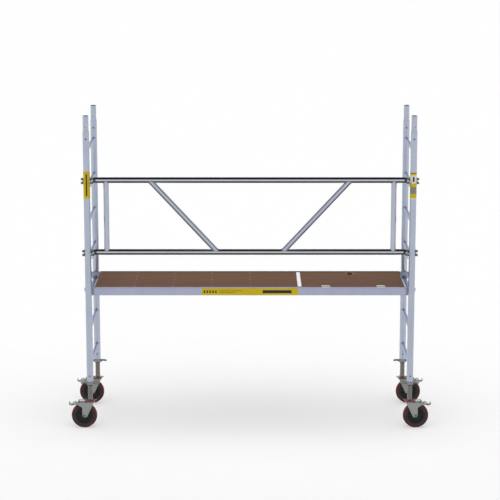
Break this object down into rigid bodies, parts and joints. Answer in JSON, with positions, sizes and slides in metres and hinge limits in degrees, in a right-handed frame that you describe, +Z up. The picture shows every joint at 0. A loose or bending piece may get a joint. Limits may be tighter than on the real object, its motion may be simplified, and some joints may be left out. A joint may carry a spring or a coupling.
{
  "type": "baker scaffold",
  "caption": "Rolling room scaffold: ladder end frames on braked castors with screw legs, hooked platform with trapdoor, and a clip-on guardrail frame.",
  "frame": {"origin": "on the floor, under the middle of the scaffold", "axes": "+X to the right along the platform, +Y to the back, away from the guardrail, +Z up"},
  "size_m": [2.824, 0.768, 2.45],
  "materials": {
    "aluminium": "satin anodised tube",
    "cast_aluminium": "cast, tumbled",
    "zinc": "zinc plated",
    "galvanised": "hot-dip galvanised thread",
    "bright_plate": "bright plate",
    "plywood": "brown phenolic film, anti-slip",
    "black_plastic": "moulded",
    "wheel_black": "moulded nylon",
    "red_paint": "powder coated",
    "tyre_red": "polyurethane"
  },
  "bodies": {
    "frame": {"spigots": "aluminium", "spigot_rivets": "cast_aluminium", "guard_rails": "aluminium", "guard_uprights": "aluminium", "guard_braces": "aluminium", "rail_claws": "cast_aluminium", "deck_side_beams": "aluminium", "deck_cross_beams": "aluminium", "deck_hooks": "cast_aluminium", "fixed_deck": "plywood", "deck_divider": "bright_plate", "hinge_base_leaves": "bright_plate", "rungs_left": "aluminium", "rungs_right": "aluminium", "post_front_left": "aluminium", "post_front_right": "aluminium", "post_back_left": "aluminium", "post_back_right": "aluminium"},
    "trapdoor": {"trapdoor_panel": "plywood", "hinge_door_leaves": "bright_plate", "latch_housing": "black_plastic"},
    "latch": {"latch_bolt": "zinc"},
    "claw_lever_top_left": {"claw_lever_top_left": "zinc"},
    "claw_lever_top_right": {"claw_lever_top_right": "zinc"},
    "claw_lever_low_left": {"claw_lever_low_left": "zinc"},
    "claw_lever_low_right": {"claw_lever_low_right": "zinc"},
    "wind_lock_left": {"wind_lock_left": "zinc"},
    "wind_lock_right": {"wind_lock_right": "zinc"},
    "leg_front_left": {"spindle_front_left": "galvanised"},
    "wing_nut_front_left": {"wing_nut_front_left": "cast_aluminium"},
    "castor_front_left": {"fork_front_left": "zinc", "axle_bolt_front_left": "zinc"},
    "wheel_front_left": {"wheel_core_front_left": "wheel_black", "tyre_front_left": "tyre_red"},
    "brake_front_left": {"brake_pedal_front_left": "zinc", "release_yoke_front_left": "red_paint"},
    "leg_front_right": {"spindle_front_right": "galvanised"},
    "wing_nut_front_right": {"wing_nut_front_right": "cast_aluminium"},
    "castor_front_right": {"fork_front_right": "zinc", "axle_bolt_front_right": "zinc"},
    "wheel_front_right": {"wheel_core_front_right": "wheel_black", "tyre_front_right": "tyre_red"},
    "brake_front_right": {"brake_pedal_front_right": "zinc", "release_yoke_front_right": "red_paint"},
    "leg_back_left": {"spindle_back_left": "galvanised"},
    "wing_nut_back_left": {"wing_nut_back_left": "cast_aluminium"},
    "castor_back_left": {"fork_back_left": "zinc", "axle_bolt_back_left": "zinc"},
    "wheel_back_left": {"wheel_core_back_left": "wheel_black", "tyre_back_left": "tyre_red"},
    "brake_back_left": {"brake_pedal_back_left": "zinc", "release_yoke_back_left": "red_paint"},
    "leg_back_right": {"spindle_back_right": "galvanised"},
    "wing_nut_back_right": {"wing_nut_back_right": "cast_aluminium"},
    "castor_back_right": {"fork_back_right": "zinc", "axle_bolt_back_right": "zinc"},
    "wheel_back_right": {"wheel_core_back_right": "wheel_black", "tyre_back_right": "tyre_red"},
    "brake_back_right": {"brake_pedal_back_right": "zinc", "release_yoke_back_right": "red_paint"}
  },
  "joints": [
    {"name": "trapdoor_hinge", "type": "hinge", "parent": "frame", "child": "trapdoor", "pos_m": [0.8, -0.286, 1.113], "axis": [1, 0, 0], "range_deg": [0, 86]},
    {"name": "latch_slide", "type": "slide", "parent": "trapdoor", "child": "latch", "axis": [0, 1, 0], "range_m": [0, 0.012]},
    {"name": "claw_lever_top_left_turn", "type": "hinge", "parent": "frame", "child": "claw_lever_top_left", "pos_m": [-1.205, -0.333, 1.9485], "axis": [0, 0, 1], "range_deg": [0, 40], "stiffness_Nm_per_rad": 0.3, "springref_deg": -17.19},
    {"name": "claw_lever_top_right_turn", "type": "hinge", "parent": "frame", "child": "claw_lever_top_right", "pos_m": [1.205, -0.333, 1.9485], "axis": [0, 0, -1], "range_deg": [0, 40], "stiffness_Nm_per_rad": 0.3, "springref_deg": -17.19},
    {"name": "claw_lever_low_left_turn", "type": "hinge", "parent": "frame", "child": "claw_lever_low_left", "pos_m": [-1.205, -0.333, 1.3885], "axis": [0, 0, 1], "range_deg": [0, 40], "stiffness_Nm_per_rad": 0.3, "springref_deg": -17.19},
    {"name": "claw_lever_low_right_turn", "type": "hinge", "parent": "frame", "child": "claw_lever_low_right", "pos_m": [1.205, -0.333, 1.3885], "axis": [0, 0, -1], "range_deg": [0, 40], "stiffness_Nm_per_rad": 0.3, "springref_deg": -17.19},
    {"name": "wind_lock_left_turn", "type": "hinge", "parent": "frame", "child": "wind_lock_left", "pos_m": [-1.214, 0, 1.039], "axis": [0, -1, 0], "range_deg": [0, 75]},
    {"name": "wind_lock_right_turn", "type": "hinge", "parent": "frame", "child": "wind_lock_right", "pos_m": [1.214, 0, 1.039], "axis": [0, 1, 0], "range_deg": [0, 75]},
    {"name": "leg_front_left_extend", "type": "slide", "parent": "frame", "child": "leg_front_left", "axis": [0, 0, -1], "range_m": [-0.096, 0.2]},
    {"name": "wing_nut_front_left_turn", "type": "hinge", "parent": "frame", "child": "wing_nut_front_left", "pos_m": [-1.245, -0.345, 0.356], "axis": [0, 0, 1], "continuous": true},
    {"name": "castor_front_left_swivel", "type": "hinge", "parent": "leg_front_left", "child": "castor_front_left", "pos_m": [-1.245, -0.345, 0.205], "axis": [0, 0, 1], "continuous": true},
    {"name": "wheel_front_left_spin", "type": "hinge", "parent": "castor_front_left", "child": "wheel_front_left", "pos_m": [-1.294, -0.345, 0.1], "axis": [0, 1, 0], "continuous": true},
    {"name": "brake_front_left_press", "type": "hinge", "parent": "castor_front_left", "child": "brake_front_left", "pos_m": [-1.339, -0.345, 0.199], "axis": [0, -1, 0], "range_deg": [0, 7]},
    {"name": "leg_front_right_extend", "type": "slide", "parent": "frame", "child": "leg_front_right", "axis": [0, 0, -1], "range_m": [-0.096, 0.2]},
    {"name": "wing_nut_front_right_turn", "type": "hinge", "parent": "frame", "child": "wing_nut_front_right", "pos_m": [1.245, -0.345, 0.356], "axis": [0, 0, 1], "continuous": true},
    {"name": "castor_front_right_swivel", "type": "hinge", "parent": "leg_front_right", "child": "castor_front_right", "pos_m": [1.245, -0.345, 0.205], "axis": [0, 0, 1], "continuous": true},
    {"name": "wheel_front_right_spin", "type": "hinge", "parent": "castor_front_right", "child": "wheel_front_right", "pos_m": [1.294, -0.345, 0.1], "axis": [0, 1, 0], "continuous": true},
    {"name": "brake_front_right_press", "type": "hinge", "parent": "castor_front_right", "child": "brake_front_right", "pos_m": [1.339, -0.345, 0.199], "axis": [0, 1, 0], "range_deg": [0, 7]},
    {"name": "leg_back_left_extend", "type": "slide", "parent": "frame", "child": "leg_back_left", "axis": [0, 0, -1], "range_m": [-0.096, 0.2]},
    {"name": "wing_nut_back_left_turn", "type": "hinge", "parent": "frame", "child": "wing_nut_back_left", "pos_m": [-1.245, 0.345, 0.356], "axis": [0, 0, 1], "continuous": true},
    {"name": "castor_back_left_swivel", "type": "hinge", "parent": "leg_back_left", "child": "castor_back_left", "pos_m": [-1.245, 0.345, 0.205], "axis": [0, 0, 1], "continuous": true},
    {"name": "wheel_back_left_spin", "type": "hinge", "parent": "castor_back_left", "child": "wheel_back_left", "pos_m": [-1.294, 0.345, 0.1], "axis": [0, 1, 0], "continuous": true},
    {"name": "brake_back_left_press", "type": "hinge", "parent": "castor_back_left", "child": "brake_back_left", "pos_m": [-1.339, 0.345, 0.199], "axis": [0, -1, 0], "range_deg": [0, 7]},
    {"name": "leg_back_right_extend", "type": "slide", "parent": "frame", "child": "leg_back_right", "axis": [0, 0, -1], "range_m": [-0.096, 0.2]},
    {"name": "wing_nut_back_right_turn", "type": "hinge", "parent": "frame", "child": "wing_nut_back_right", "pos_m": [1.245, 0.345, 0.356], "axis": [0, 0, 1], "continuous": true},
    {"name": "castor_back_right_swivel", "type": "hinge", "parent": "leg_back_right", "child": "castor_back_right", "pos_m": [1.245, 0.345, 0.205], "axis": [0, 0, 1], "continuous": true},
    {"name": "wheel_back_right_spin", "type": "hinge", "parent": "castor_back_right", "child": "wheel_back_right", "pos_m": [1.294, 0.345, 0.1], "axis": [0, 1, 0], "continuous": true},
    {"name": "brake_back_right_press", "type": "hinge", "parent": "castor_back_right", "child": "brake_back_right", "pos_m": [1.339, 0.345, 0.199], "axis": [0, 1, 0], "range_deg": [0, 7]}
  ],
  "couplings": [
    {"joint": "wing_nut_front_left_turn", "follows": "leg_front_left_extend", "rad_per_m": 785.4},
    {"joint": "wing_nut_front_right_turn", "follows": "leg_front_right_extend", "rad_per_m": 785.4},
    {"joint": "wing_nut_back_left_turn", "follows": "leg_back_left_extend", "rad_per_m": 785.4},
    {"joint": "wing_nut_back_right_turn", "follows": "leg_back_right_extend", "rad_per_m": 785.4}
  ]
}
